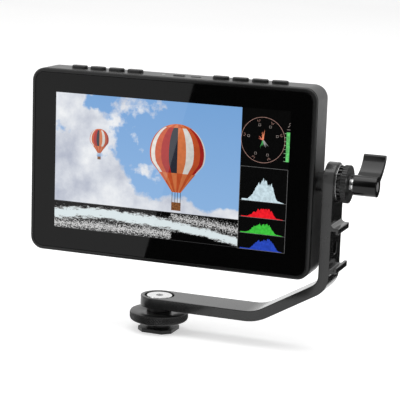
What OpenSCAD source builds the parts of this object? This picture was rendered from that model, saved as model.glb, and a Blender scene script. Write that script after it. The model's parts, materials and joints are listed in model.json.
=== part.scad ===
// Camera field monitor on a bent tilt arm with a shoe foot.
// Millimetres. X to the monitor's right as seen from the front, Y to the back, Z up.
// The origin is the centre of the underside of the shoe foot.

/* [Monitor case] */
// Width of the case
body_w = 147.6; // [140:0.2:190]
// Height of the case
body_h = 92.1; // [90:0.1:120]
// Depth of the case without the battery plate
body_d = 19.1; // [18.2:0.1:30]
// Radius of the case's corners seen from the front
corner_r = 6.5; // [5:0.1:12]
// Thickness of the side walls
wall_t = 1.8; // [1.4:0.1:2.4]
// Thickness of the back wall
back_t = 1.8; // [1.7:0.1:2.6]
// Rounding of the back edge
back_round = 1.2; // [0.6:0.1:1.4]
// Width of the front rim beside the glass
rim_w = 1.75; // [1.4:0.05:3]
// Depth of the front rim
rim_d = 1.3; // [1.2:0.1:2]
// Rounding of the front edge
front_round = 0.9; // [0.4:0.1:1.1]
// Width of the parting groove behind the front rim
groove_w = 0.9; // [0.6:0.1:1.2]
// Radius of the four corner posts that take the cover screws
post_r = 3; // [2.8:0.1:3.4]

/* [Glass and display] */
// Thickness of the cover glass
glass_t = 0.8; // [0.6:0.1:0.9]
// How far the glass lies behind the front edge
glass_in = 0.1; // [0:0.05:0.3]
// Distance from the display panel to the case's left and right sides
side_border = 10.8; // [10:0.1:14]
// Distance from the display panel to the case's top and bottom before it is shifted up
level_border = 9.55; // [8.5:0.05:12]
// Height of the display's centre above the case's centre
lcd_up = 0.2; // [-1:0.1:1]
// Thickness of the display panel
lcd_t = 1.4; // [1:0.1:1.8]
// Thickness of the backlight
light_t = 2.6; // [2:0.1:3]
// Thickness of the inner frame plate
frame_t = 1; // [0.8:0.1:1.4]

/* [Electronics] */
// Gap between the tallest socket and the back wall
socket_gap = 1; // [0.4:0.1:4]
// Thickness of the circuit boards
board_t = 1.2; // [1:0.1:1.6]
// Width of the main board
board_w = 112; // [108:1:118]
// Gap between the main board and the key board
board_gap = 1.8; // [1.2:0.1:3]
// Height of the main board's lower edge above the case's bottom
board_edge = 10; // [9:0.5:14]
// Height of the sockets above the board
socket_h = 6; // [5.2:0.1:6.2]
// Width of a video socket
video_w = 15; // [14.5:0.1:15.5]
// Depth of a video socket
video_d = 11.5; // [10:0.5:13]
// Height of the upper video socket above the case's centre
video_up = 22.5; // [21.5:0.5:25]
// Height of the lower video socket's centre below the case's centre
video_down = 13.2; // [13:0.1:16]
// Radius of the earphone socket's bore
phones_r = 1.8; // [1.75:0.05:1.9]
// Height of the earphone socket above the case's centre
phones_up = 10.7; // [10.4:0.1:11]
// Radius of the supply socket's bore
supply_r = 2.85; // [2.5:0.05:3]
// Depth of the supply socket's centre below the case's centre
supply_down = 26.1; // [26:0.1:30]

/* [Keys] */
// Number of keys in each of the two rows
row_keys = 4; // [2:1:4]
// Distance from the middle of the case to the first key
key_start = 22.4; // [20:0.1:24]
// Distance between key centres
key_pitch = 10; // [9.7:0.1:10.4]
// Length of a key
key_l = 8.2; // [6:0.1:8.6]
// Width of a key
key_w = 4; // [3:0.1:4.6]
// Height of a key above the case
key_up = 1.45; // [0.6:0.05:2]
// Travel of a key
key_travel = 0.4; // [0.2:0.05:0.45]
// Depth of the keys' centre line behind the front
key_depth = 10; // [9.6:0.1:11]
// Place of the power button along the case
power_x = 0.7; // [-1:0.1:1.5]
// Length of the power button
power_l = 6.3; // [5:0.1:7]
// Place of the input button along the case
input_x = 9.5; // [9:0.1:11]
// Length of the input button
input_l = 5.4; // [4.6:0.1:6.4]
// Place of the status light along the case
light_x = -7.5; // [-12:0.1:-6.5]
// Radius of the status light
light_r = 0.9; // [0.7:0.05:1.2]

/* [Battery plate] */
// Width of the battery that the plate takes
battery_w = 38.4; // [36:0.1:40]
// Length of the battery that the plate takes
battery_l = 70.5; // [68:0.5:71]
// Depth of the battery's upper end below the case's top
battery_down = 9.55; // [9:0.05:12]
// Thickness of the plate
plate_t = 4; // [3.8:0.1:5]
// Height of the rails above the plate
rail_h = 4.5; // [3.6:0.1:6]
// Thickness of a rail
rail_t = 2.4; // [2:0.1:3]
// How far the hooks of the rails reach inwards
rail_hook = 1.5; // [1:0.1:2]
// Travel of the release latch
latch_travel = 2; // [1.6:0.1:2.2]

/* [Tilt arm] */
// Width of the arm's bar
arm_w = 19; // [17:0.1:20]
// Thickness of the arm's bar
arm_t = 5.2; // [5:0.1:7]
// Distance from the foot's axis to the inner face of the upright
arm_reach = 84.4; // [82:0.1:110]
// Gap between the case and the upright
side_gap = 4.5; // [3:0.1:7]
// Height that the sloping part rises
slope_rise = 18.1; // [15:0.1:20]
// Angle of the sloping part above the horizontal
slope_angle = 30; // [26:1:36]
// Inner bend radius between the flat part and the slope
low_bend_r = 18; // [10:1:24]
// Inner bend radius between the slope and the upright
high_bend_r = 6; // [4:0.5:9]
// Height of the tilt axis above the flat part's top
pivot_rise = 65.5; // [63:0.5:85]
// Straight length of the upright above the tilt axis
pivot_over = 0.6; // [0:0.1:3]
// Height of the tilt axis above the case's centre
pivot_up = 0.9; // [-1:0.1:3]

/* [Accessory channel] */
// Height of the channel's centre below the tilt axis
channel_drop = 31; // [29:0.1:34]
// Width of the channel between its lips
channel_w = 18.8; // [18.6:0.1:20]
// Depth of the channel under the hooks
channel_d = 2.2; // [2.1:0.05:2.6]
// Thickness of the lips and hooks
lip_t = 1.5; // [1.3:0.1:2.6]
// How far the hooks reach over the channel
lip_hook = 1.4; // [1:0.1:3]
// Fillet between the lips and the upright
lip_fillet = 2; // [1:0.1:3]
// Radius of the threaded hole in the channel and in the case's insert
thread_r = 3.175; // [3:0.005:3.3]

/* [Tilt clamp] */
// Radius of the journal that the arm turns on
journal_r = 4; // [3.9:0.05:4.4]
// Radius of the pivot screw
screw_r = 3; // [2.6:0.05:3.05]
// Radius of the collar on the case's side
collar_r = 4.8; // [4.6:0.05:5.2]
// Radius of the pressure ring on the arm
ring_r = 9; // [8:0.1:9.4]
// Thickness of the pressure ring
ring_t = 1; // [0.8:0.05:1.4]
// Radius of the toothed ring
tooth_r = 8.6; // [7.6:0.1:9]
// Thickness of the toothed ring
tooth_t = 1.6; // [1.4:0.05:2.2]
// Number of teeth on the toothed ring
teeth = 22; // [12:1:30]
// Thickness of the thrust washer
washer_t = 0.4; // [0.3:0.05:0.8]
// Radius of the lock wheel
wheel_r = 9.1; // [8:0.1:9.6]
// Thickness of the lock wheel
wheel_t = 2.6; // [2.2:0.1:4]
// Number of grooves round the lock wheel
wheel_grooves = 40; // [24:2:60]
// Gap between the lock wheel and the knob
knob_gap = 2.4; // [1.6:0.1:3]
// Radius of the knob's hub
hub_r = 4.9; // [4:0.1:5]
// Length of the knob's hub
hub_l = 11.1; // [10:0.1:15]
// Width of the knob's wing along the axis
wing_l = 10.9; // [8:0.1:11.6]
// Reach of the wing behind the axis
wing_back = 14; // [10:0.1:18]
// Reach of the wing above the axis
wing_high = 11.5; // [8:0.1:16]

/* [Shoe foot] */
// Side length of the square foot
foot_w = 18.2; // [17.8:0.1:19]
// Length of the cut corners, measured along the side
foot_cut = 3.8; // [2:0.1:5]
// Thickness of the foot
foot_t = 2; // [1.8:0.05:2.1]
// Radius of the post above the foot
post_foot_r = 6; // [5:0.05:6.2]
// Gap between the foot and the lock disc as stored
foot_gap = 3.4; // [0.9:0.1:4]
// Radius of the lock disc
disc_r = 14.75; // [13:0.05:17]
// Thickness of the lock disc
disc_t = 4.5; // [4:0.1:8]
// Height of the lock disc's knurled rim
disc_rim = 3.9; // [3:0.1:4.2]
// Gap between the lock disc and the arm as stored
disc_gap = 2.8; // [2.7:0.1:6]
// Radius of the foot screw's head
head_r = 6.4; // [5.6:0.1:6.8]
// Thickness of the foot screw's head
head_t = 2.4; // [2:0.1:2.6]
// How far the head lies below the arm's top
head_in = 0.1; // [0:0.1:1]
// Radius of the counterbore round the head
counterbore_r = 7.45; // [7:0.05:8]

/* [Clearances] */
// Radial clearance of shafts that turn or slide in their bores
run_gap = 0.05; // [0.03:0.01:0.09]
// Clearance round keys and sockets
slip_gap = 0.15; // [0.1:0.05:0.25]
// Clearance between parts of the case
case_gap = 0.15; // [0.1:0.05:0.25]

/* [Hidden] */
$fn = 64;
small = 32;
overlap = 0.5;

// Heights of the foot and the arm
disc_z = foot_t + foot_gap;
arm_z = disc_z + disc_t + disc_gap;
arm_top = arm_z + arm_t;
pivot_z = arm_top + pivot_rise;
channel_z = pivot_z - channel_drop;
arm_out = arm_reach + arm_t;

// Place of the monitor
monitor_x = arm_reach - side_gap - body_w / 2;
monitor_z = pivot_z - pivot_up;

// Depths inside the case, counted from its front face
glass_back = glass_in + glass_t;
lcd_back = glass_back + lcd_t;
light_back = lcd_back + light_t;
frame_back = light_back + frame_t;
cover_y = rim_d + groove_w;
ledge_back = rim_d + 0.7;
ledge_in = 0.6;
skirt_back = cover_y + 1.2;
skirt_t = 1.3;
inner_back = body_d - back_t;
mid_y = body_d / 2;
supply_h = socket_h + 0.6;
board_back = inner_back - socket_gap - supply_h;
board_y = board_back - board_t;

// Width and height of the inner frame and the glass
frame_side = wall_t + case_gap + skirt_t + 0.25;
frame_w = body_w - 2 * frame_side;
frame_h = body_h - 2 * frame_side;
glass_w = body_w - 2 * rim_w - 2 * case_gap;
glass_h = body_h - 2 * rim_w - 2 * case_gap;
glass_r = corner_r - rim_w - case_gap;

// Keys and their board
case_top = body_h / 2;
inner_top = case_top - wall_t;
key_flange_t = 0.8;
key_flange_over = 0.5;
switch_gap = 0.15;
switch_top = inner_top - key_flange_t - key_travel - switch_gap;
switch_h = 1.6;
switch_w = 4.4;
plunger_h = 0.3;
plunger_r = 1;
key_board_top = switch_top - plunger_h - switch_h;
key_board_z = key_board_top - board_t;
key_board_back = key_depth + 3;
button_up = 0.5;
low_button_up = 0.3;
button_w = 3.2;
key_spots = [
    for (i = [row_keys - 1:-1:0]) -key_start - i * key_pitch,
    for (i = [0:row_keys - 1]) key_start + i * key_pitch
];
key_board_w = 2 * (key_start + (row_keys - 1) * key_pitch) + 10;

// Main board, carried on four posts
board_x0 = -body_w / 2 + wall_t + 1;
board_x1 = board_x0 + board_w;
board_z0 = board_edge - body_h / 2;
board_z1 = key_board_z - board_gap;
stand_x = [board_x0 + 16, board_x1 - 5];
stand_z = [board_z0 + 5, board_z1 - 5];
stand_r = 2.5;
board_screw_r = 1;
board_screw_l = 2.8;
board_slot_l = 2.2;
board_slot_w = 0.5;
board_head_r = 1.9;
board_head_t = 1.2;
chip_size = 15;
chip_t = 1.6;
chip_x = -6;
chip_down = 30;
chip_z = board_z1 - chip_down;
memory_x = 17;
memory_w = 9;
memory_h = 11;
memory_t = 1.1;
memory_pitch = 16;
power_chip = 7;
power_chip_t = 1;
power_chip_in = 27;
power_chip_up = 16;
power_chip_down = 24;
capacitor_r = 2.5;
capacitor_h = 4.6;
capacitor_pitch = 7;
capacitor_in = 31;
capacitor_up = 6;
spreader_w = 32;
spreader_h = 30;
spreader_t = 2.2;
fin_pitch = 4;
fin_slot = 1.8;
key_flex_in = 20;
key_flex_w = 8;
key_flex_down = 5;

// Display panel, corner posts beside it and cover screws
panel_w = body_w - 2 * side_border;
panel_h = body_h - 2 * level_border;
bezel_boss_r = 2.3;
boss_gap = 0.9;
post_x = panel_w / 2 + boss_gap + bezel_boss_r;
post_z = body_h / 2 - wall_t - 5.2;
post_front = frame_back + 2.1;
cover_screw_r = 1.1;
cover_head_r = 2.1;
cover_head_t = 1.2;
screw_end = glass_back + 0.6;

// Sockets in the left side of the case
mouth_x = -body_w / 2 + 0.2;
video_cavity_w = video_w - 1.1;
video_cavity_h = socket_h - 1.45;
video_cavity_d = 8;
tongue_t = 1;
phones_w = 6;
phones_h = 5;
phones_d = 12;
supply_w = 8.2;
supply_d = 13;
supply_pin_r = 1;

// Threaded insert in the left side
insert_r = 4.2;
insert_l = 5;
insert_boss_r = 5.4;
insert_boss_l = insert_l - wall_t + 0.6;

// Battery plate and latch
plate_back = body_d + plate_t;
rail_in = battery_w / 2 + 0.4;
plate_w = 2 * (rail_in + rail_t);
block_h = 4.5;
block_d = 4.5;
battery_z1 = body_h / 2 - battery_down;
battery_z0 = battery_z1 - battery_l;
rail_start = 6;
rail_step = 34;
rail_l = 18;
plate_z0 = battery_z0 - block_h - 0.6;
plate_z1 = battery_z1 + 7.8;
lip = 0.9;
latch_flange_t = 0.8;
latch_flange_back = plate_back - lip;
latch_x = 5;
latch_z0 = battery_z1 - 8;
latch_z1 = plate_z1 - 1.4;
latch_side = 1.2;
latch_pin_r = 2.4;
latch_grip_w = 7;
latch_grip_h = 5;
spring_r = 1.8;
spring_wire_r = 0.25;
spring_turns = 3;
spring_z = (latch_z0 + latch_z1) / 2;
spring_l = latch_flange_back - latch_flange_t - body_d;
contact_gap = 7;
plate_screw_x = 14;
plate_screw_in = 8;
plate_screw_pitch = 44;
plate_screw_z = [battery_z0 + plate_screw_in, battery_z0 + plate_screw_in + plate_screw_pitch];
plate_slot_l = 2.8;
cover_slot_l = 2.6;
slot_w = 0.6;
plate_screw_r = 1.25;
plate_head_r = 2.2;
plate_head_t = 1.4;
plate_boss_t = 2.6;

// Vents in the back wall
vent_l = 26;
vent_h = 1.6;
vent_pitch = 3.4;
vents = 7;
vent_z = 10;
vent_x = (plate_w / 2 + post_x) / 2 + 0.6;

// Display cable
flex_t = 0.3;
flex_w = 24;
flex_x = 26;
flex_z = lcd_up - panel_h / 2 - 3.2;
flex_up = 6;

// Places along the tilt axis
washer_x = arm_reach - 1.7;
ring_x = arm_out;
tooth_x = ring_x + ring_t;
thrust_x = tooth_x + tooth_t;
wheel_x = thrust_x + washer_t;
wheel_boss_r = 4.6;
wheel_boss_t = max(0.3, knob_gap - 1.6);
hub_x = wheel_x + wheel_t + knob_gap;
hub_end = hub_x + hub_l;
collar_hole_in = 6;
screw_tip = arm_reach - side_gap - collar_hole_in + 1;
cap_t = 0.8;
cap_r = 2.4;
ring_bore_r = journal_r + 0.4;

// Foot screw, post and lock pad
web_z = arm_top - head_in - head_t;
foot_screw_l = web_z - disc_z;
pad_in_r = post_foot_r + 1;
pad_out_r = pad_in_r + 2;
pad_t = 1.1;
pad_out = 0.1;
disc_low_r = disc_r - 1;

function arc(cx, cy, r, a0, a1, n) =
    [for (i = [0:n]) [cx + r * cos(a0 + (a1 - a0) * i / n), cy + r * sin(a0 + (a1 - a0) * i / n)]];

module box(x0, x1, y0, y1, z0, z1)
    translate([x0, y0, z0]) cube([x1 - x0, y1 - y0, z1 - z0]);

module rod_x(x0, x1, r, y = 0, z = 0)
    translate([x0, y, z]) rotate([0, 90, 0]) cylinder(h = x1 - x0, r = r);

module rod_y(y0, y1, r, x = 0, z = 0)
    translate([x, y1, z]) rotate([90, 0, 0]) cylinder(h = y1 - y0, r = r);

module rod_z(z0, z1, r, x = 0, y = 0)
    translate([x, y, z0]) cylinder(h = z1 - z0, r = r);

// Drawing in X and Z, made solid from depth y0 to y1
module slab(y0, y1)
    translate([0, y1, 0]) rotate([90, 0, 0]) linear_extrude(height = y1 - y0) children();

// Drawing in Y and Z, made solid from x0 to x1
module slice(x0, x1)
    translate([x0, 0, 0]) rotate([90, 0, 90]) linear_extrude(height = x1 - x0) children();

module round_rect(w, h, r) {
    square([w - 2 * r, h], center = true);
    square([w, h - 2 * r], center = true);
    for (x = [-1, 1], y = [-1, 1])
        translate([x * (w / 2 - r), y * (h / 2 - r)]) circle(r = r);
}

// A profile swept round a rectangle with round corners. The profile's first number counts
// outwards from the corner's centre and its second number counts backwards in depth.
module frame_sweep(w, h, r) {
    half_w = w / 2 - r;
    half_h = h / 2 - r;
    for (a = [0, 1, 2, 3])
        translate([(a == 0 || a == 3 ? 1 : -1) * half_w, 0, (a < 2 ? -1 : 1) * half_h])
            rotate([0, 90 * a, 0]) rotate([-90, 0, 0]) rotate_extrude(angle = 90) children();
    for (m = [0, 1]) {
        mirror([m, 0, 0]) translate([half_w, 0, -half_h]) linear_extrude(height = 2 * half_h) children();
        mirror([0, 0, m]) rotate([0, 90, 0]) translate([half_h, 0, -half_w])
            linear_extrude(height = 2 * half_w) children();
    }
}

// A slot with round ends, upright, from z0 to z1
module pill(l, w, z0, z1, x = 0, y = 0)
    translate([x, y, z0]) linear_extrude(height = z1 - z0) {
        square([l - w, w], center = true);
        for (s = [-1, 1]) translate([s * (l - w) / 2, 0]) circle(d = w, $fn = small);
    }

module in_monitor()
    translate([monitor_x, -mid_y, monitor_z]) children();

module on_axis()
    translate([0, 0, pivot_z]) children();

module at_posts()
    for (x = [-1, 1], z = [-1, 1]) translate([x * post_x, 0, z * post_z]) children();

module at_stands()
    for (x = stand_x, z = stand_z) translate([x, 0, z]) children();

module at_plate_screws()
    for (x = [-1, 1], z = plate_screw_z) translate([x * plate_screw_x, 0, z]) children();

// Space round the insert and the collar that the inner pieces leave free
module insert_room() {
    room_r = insert_boss_r + 0.4;
    depth = max(insert_boss_l, collar_hole_in) + wall_t + 0.5;
    for (s = [-1, 1])
        rod_x(min(s * (body_w / 2 - depth), s * body_w / 2), max(s * (body_w / 2 - depth), s * body_w / 2),
            room_r, mid_y, pivot_up);
}

// The bezel's section: rim, glass pocket, ledge, and the skirt that enters the cover
module bezel_section() {
    skirt_out = corner_r - wall_t - case_gap;
    skirt_in = skirt_out - skirt_t;
    polygon(concat(
        [[ledge_in, glass_back], [corner_r - rim_w, glass_back], [corner_r - rim_w, 0]],
        arc(corner_r - front_round, front_round, front_round, -90, 0, 5),
        [[corner_r, rim_d], [skirt_out, rim_d], [skirt_out, skirt_back], [skirt_in, skirt_back],
            [skirt_in, ledge_back], [ledge_in, ledge_back]]));
}

module front_bezel() color("#2b2b2b") in_monitor() difference() {
    inset = corner_r - ledge_in - overlap;
    union() {
        frame_sweep(body_w, body_h, corner_r) bezel_section();
        difference() {
            slab(glass_back, ledge_back) square([body_w - 2 * inset, body_h - 2 * inset], center = true);
            slab(glass_back - 1, ledge_back + 1) translate([0, lcd_up])
                square([panel_w + 2 * case_gap, panel_h + 2 * case_gap], center = true);
        }
        at_posts() rod_y(ledge_back - overlap, light_back, bezel_boss_r);
    }
    at_posts() rod_y(screw_end, light_back + 1, cover_screw_r);
}

module cover_glass() color("#0b0b0c") in_monitor()
    slab(glass_in, glass_back) round_rect(glass_w, glass_h, glass_r);

module lcd_panel() color("#20262c") in_monitor()
    slab(glass_back, lcd_back) translate([0, lcd_up]) square([panel_w, panel_h], center = true);

module backlight() color("#e8e8e4") in_monitor()
    slab(lcd_back, light_back) translate([0, lcd_up]) square([panel_w, panel_h], center = true);

module mid_frame() color("#8d9094") in_monitor() difference() {
    union() {
        slab(light_back, frame_back) round_rect(frame_w, frame_h, 2);
        at_stands() rod_y(frame_back - overlap, board_y, stand_r);
        at_posts() rod_y(frame_back - overlap, post_front, post_r - 0.3);
    }
    insert_room();
    at_stands() rod_y(board_y - board_screw_l + board_t, board_y + 1, board_screw_r);
    at_posts() rod_y(light_back - 1, post_front + 1, cover_screw_r);
    slab(light_back - 1, frame_back + 1) translate([flex_x, -frame_h / 2])
        square([flex_w + 2, 2 * (frame_h / 2 + flex_z + 1)], center = true);
}

module lcd_flex() color("#b5742a") in_monitor()
    translate([flex_x - flex_w / 2, 0, 0]) slice(0, flex_w) {
        translate([ledge_back + 0.1, flex_z]) square([flex_t, -flex_z + lcd_up - panel_h / 2]);
        translate([ledge_back + 0.1, flex_z]) square([board_back + flex_t - ledge_back - 0.1, flex_t]);
        translate([board_back, flex_z]) square([flex_t, flex_up]);
    }

module main_board() color("#1f5c3a") in_monitor() difference() {
    box(board_x0, board_x1, board_y, board_back, board_z0, board_z1);
    insert_room();
    at_stands() rod_y(board_y - 1, board_back + 1, board_screw_r);
    at_posts() rod_y(board_y - 1, board_back + 1, post_r + 0.4);
}

module board_chips() color("#17181a") in_monitor() {
    box(chip_x - chip_size / 2, chip_x + chip_size / 2, board_back, board_back + chip_t,
        chip_z - chip_size / 2, chip_z + chip_size / 2);
    for (s = [-1, 1])
        translate([memory_x, board_back, chip_z + (s * memory_pitch - memory_h) / 2])
            cube([memory_w, memory_t, memory_h]);
    for (z = [board_z0 + power_chip_up, board_z1 - power_chip_down])
        translate([board_x0 + power_chip_in, board_back, z]) cube([power_chip, power_chip_t, power_chip]);
    for (i = [0:3])
        translate([board_x0 + capacitor_in + capacitor_pitch * i, 0, board_z0 + capacitor_up])
            rod_y(board_back, board_back + capacitor_h, capacitor_r);
}

module board_screws() color("#9a9a98") in_monitor() at_stands() {
    rod_y(board_y - board_screw_l + board_t, board_back, board_screw_r);
    difference() {
        rod_y(board_back, board_back + board_head_t, board_head_r);
        slab(board_back + board_head_t - 0.6, board_back + board_head_t + 1) {
            square([board_slot_l, board_slot_w], center = true);
            square([board_slot_w, board_slot_l], center = true);
        }
    }
}

module heat_spreader() color("#b9bcbe") in_monitor()
    difference() {
        slab(board_back + chip_t, board_back + chip_t + spreader_t)
            translate([chip_x, chip_z]) square([spreader_w, spreader_h], center = true);
        for (i = [-3:3])
            slab(board_back + chip_t + 1, board_back + chip_t + spreader_t + 1)
                translate([chip_x, chip_z + fin_pitch * i]) square([spreader_w + 2, fin_slot], center = true);
    }

module key_board() color("#1f5c3a") in_monitor()
    box(-key_board_w / 2, key_board_w / 2, frame_back, key_board_back, key_board_z, key_board_top);

module switch_at(x) {
    translate([x - switch_w / 2, key_depth - switch_w / 2, key_board_top]) cube([switch_w, switch_w, switch_h]);
    rod_z(key_board_top + switch_h - 0.1, switch_top, plunger_r, x, key_depth);
}

module key_switches() color("#c9c9c4") in_monitor()
    for (x = concat(key_spots, [power_x, input_x])) switch_at(x);

module key_flex() color("#b5742a") in_monitor()
    translate([board_x0 + key_flex_in, board_back, board_z1 - key_flex_down])
        cube([key_flex_w, flex_t, key_flex_down + board_gap]);

module status_light() color("#e9efe6") in_monitor() {
    rod_z(inner_top - overlap, case_top + 0.1, light_r, light_x, key_depth);
    rod_z(key_board_top + 0.3, inner_top, light_r + 0.6, light_x, key_depth);
}

module video_sockets() color("#a9acad") in_monitor()
    for (z = [video_up, -video_down]) {
        mid = board_back + socket_h / 2;
        difference() {
            box(mouth_x, mouth_x + video_d, board_back, board_back + socket_h, z - video_w / 2, z + video_w / 2);
            box(mouth_x - 1, mouth_x + video_cavity_d, mid - video_cavity_h / 2, mid + video_cavity_h / 2,
                z - video_cavity_w / 2, z + video_cavity_w / 2);
        }
        box(mouth_x + 1, mouth_x + video_cavity_d + overlap, mid - tongue_t / 2, mid + tongue_t / 2,
            z - video_cavity_w / 2 + 1.6, z + video_cavity_w / 2 - 1.6);
    }

module phones_socket() color("#1a1a1a") in_monitor() difference() {
    box(mouth_x, mouth_x + phones_d, board_back, board_back + phones_h,
        phones_up - phones_w / 2, phones_up + phones_w / 2);
    rod_x(mouth_x - 1, mouth_x + phones_d - 0.8, phones_r, board_back + phones_h / 2, phones_up);
}

module supply_socket() color("#1a1a1a") in_monitor() {
    mid = board_back + supply_h / 2;
    difference() {
        box(mouth_x, mouth_x + supply_d, board_back, board_back + supply_h,
            -supply_down - supply_w / 2, -supply_down + supply_w / 2);
        rod_x(mouth_x - 1, mouth_x + supply_d - 3, supply_r, mid, -supply_down);
    }
    rod_x(mouth_x + 1, mouth_x + supply_d - 2, supply_pin_r, mid, -supply_down);
}

module socket_holes() {
    x0 = -body_w / 2 - 1;
    x1 = -body_w / 2 + wall_t + overlap;
    g = slip_gap;
    for (z = [video_up, -video_down])
        box(x0, x1, board_back - g, board_back + socket_h + g, z - video_w / 2 - g, z + video_w / 2 + g);
    box(x0, x1, board_back - g, board_back + phones_h + g,
        phones_up - phones_w / 2 - g, phones_up + phones_w / 2 + g);
    box(x0, x1, board_back - g, board_back + supply_h + g,
        -supply_down - supply_w / 2 - g, -supply_down + supply_w / 2 + g);
}

module key_holes() {
    g = 2 * slip_gap;
    z0 = inner_top - 1;
    z1 = case_top + 1;
    for (x = key_spots) pill(key_l + g, key_w + g, z0, z1, x, key_depth);
    pill(power_l + g, button_w + g, z0, z1, power_x, key_depth);
    pill(input_l + g, button_w + g, z0, z1, input_x, key_depth);
    rod_z(z0, z1, light_r + run_gap, light_x, key_depth);
}

module rear_cover() color("#303030") in_monitor() difference() {
    union() {
        frame_sweep(body_w, body_h, corner_r)
            polygon(concat(
                [[corner_r - wall_t, cover_y], [corner_r, cover_y]],
                arc(corner_r - back_round, body_d - back_round, back_round, 0, 90, 5),
                [[corner_r - wall_t, body_d]]));
        slab(inner_back, body_d)
            round_rect(body_w - 2 * wall_t + 0.4, body_h - 2 * wall_t + 0.4, corner_r - wall_t + 0.2);
        at_posts() rod_y(post_front, inner_back + overlap, post_r);
        at_plate_screws() rod_y(inner_back - plate_boss_t, inner_back + overlap, plate_head_r + 0.8);
        rod_x(-body_w / 2 + wall_t - overlap, -body_w / 2 + wall_t + insert_boss_l, insert_boss_r, mid_y, pivot_up);
    }
    at_posts() {
        rod_y(post_front - 1, body_d + 1, cover_screw_r + slip_gap);
        rod_y(body_d - cover_head_t - 0.4, body_d + 1, cover_head_r + slip_gap);
    }
    at_plate_screws() rod_y(inner_back - plate_boss_t - 1, body_d + 1, plate_screw_r);
    rod_x(-body_w / 2 - 1, -body_w / 2 + insert_l, insert_r, mid_y, pivot_up);
    rod_x(body_w / 2 - wall_t - 1, body_w / 2 + 1, collar_r, mid_y, pivot_up);
    socket_holes();
    key_holes();
    for (s = [-1, 1], i = [0:vents - 1])
        box(s * vent_x - vent_l / 2, s * vent_x + vent_l / 2, inner_back - 1, body_d + 1,
            vent_z + i * vent_pitch, vent_z + i * vent_pitch + vent_h);
}

module cover_screws() color("#3a3a3a") in_monitor() at_posts() {
    head_y = body_d - cover_head_t - 0.4;
    rod_y(screw_end, head_y, cover_screw_r);
    difference() {
        rod_y(head_y, head_y + cover_head_t, cover_head_r);
        slab(head_y + cover_head_t - 0.6, body_d + 1) {
            square([cover_slot_l, slot_w], center = true);
            square([slot_w, cover_slot_l], center = true);
        }
    }
}

module thread_insert() color("#c9b37a") in_monitor() difference() {
    rod_x(-body_w / 2, -body_w / 2 + insert_l, insert_r, mid_y, pivot_up);
    rod_x(-body_w / 2 - 1, -body_w / 2 + insert_l + 1, thread_r, mid_y, pivot_up);
}

module battery_plate() color("#262626") in_monitor() difference() {
    union() {
        slab(body_d, plate_back) translate([0, (plate_z0 + plate_z1) / 2])
            round_rect(plate_w, plate_z1 - plate_z0, 2.5);
        for (m = [0, 1], z = [battery_z0 + rail_start, battery_z0 + rail_start + rail_step])
            mirror([m, 0, 0]) {
                box(rail_in, rail_in + rail_t, plate_back - overlap, plate_back + rail_h, z, z + rail_l);
                box(rail_in - rail_hook, rail_in + rail_t, plate_back + rail_h - 1.2, plate_back + rail_h,
                    z, z + rail_l);
            }
        box(-12, 12, plate_back - overlap, plate_back + block_d, battery_z0 - block_h, battery_z0);
    }
    box(-latch_x - latch_side, latch_x + latch_side, body_d - 1, latch_flange_back, latch_z0 - latch_side, latch_z1);
    box(-latch_x, latch_x, body_d - 1, plate_back + 1, latch_z0, latch_z1 - latch_side);
    for (x = [-contact_gap, 0, contact_gap])
        box(x - 0.5, x + 0.5, plate_back + 1, plate_back + block_d - 0.8, battery_z0 - 3, battery_z0 + 1);
    at_plate_screws() {
        rod_y(body_d - 1, plate_back + 1, plate_screw_r);
        rod_y(plate_back - plate_head_t - 0.3, plate_back + 1, plate_head_r + slip_gap);
    }
}

module battery_contacts() color("#c8a24a") in_monitor()
    for (x = [-contact_gap, 0, contact_gap])
        box(x - 0.5, x + 0.5, plate_back + 1, plate_back + block_d - 0.8, battery_z0 - 3, battery_z0 + 5);

module plate_screws() color("#8f8f8d") in_monitor() at_plate_screws() {
    head_y = plate_back - plate_head_t - 0.3;
    rod_y(inner_back - plate_boss_t + 0.4, head_y, plate_screw_r);
    difference() {
        rod_y(head_y, head_y + plate_head_t, plate_head_r);
        slab(head_y + plate_head_t - 0.7, plate_back + 1) {
            square([plate_slot_l, slot_w], center = true);
            square([slot_w, plate_slot_l], center = true);
        }
    }
}

module battery_latch() color("#3c3c3c") in_monitor() {
    g = slip_gap;
    flange_front = latch_flange_back - latch_flange_t;
    box(-latch_x - latch_side + g, latch_x + latch_side - g, flange_front, latch_flange_back,
        latch_z0 - latch_side + g, latch_z1 - g);
    box(-latch_x + g, latch_x - g, flange_front, plate_back, latch_z0 + g, latch_z1 - latch_side - g);
    rod_y(plate_back - overlap, plate_back + latch_travel, latch_pin_r, 0, battery_z1 + latch_pin_r + 0.3);
    translate([0, 0, latch_z0 + 1]) slice(-latch_grip_w / 2, latch_grip_w / 2)
        polygon([
            [plate_back - overlap, 0], [plate_back, 0], [plate_back + latch_travel, 1],
            [plate_back + latch_travel, 2], [plate_back, latch_grip_h], [plate_back - overlap, latch_grip_h]
        ]);
}

// Coil along Y between the case's back and the latch
module latch_spring() color("#b8b8b4") in_monitor() {
    sides = 6;
    steps = 16 * spring_turns;
    rise = (spring_l - 2 * spring_wire_r) / steps;
    points = [
        for (i = [0:steps], j = [0:sides - 1])
            let (
                a = 360 * i * spring_turns / steps,
                b = 360 * j / sides,
                r = spring_r + spring_wire_r * cos(b)
            )
            [r * cos(a), body_d + spring_wire_r + rise * i + spring_wire_r * sin(b), spring_z + r * sin(a)]
    ];
    sides_faces = [
        for (i = [0:steps - 1], j = [0:sides - 1])
            let (k = (j + 1) % sides)
            each [
                [i * sides + j, i * sides + k, (i + 1) * sides + k],
                [i * sides + j, (i + 1) * sides + k, (i + 1) * sides + j]
            ]
    ];
    start_face = [[for (j = [sides - 1:-1:0]) j]];
    end_face = [[for (j = [0:sides - 1]) steps * sides + j]];
    polyhedron(points = points, faces = concat(sides_faces, start_face, end_face));
}

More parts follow.
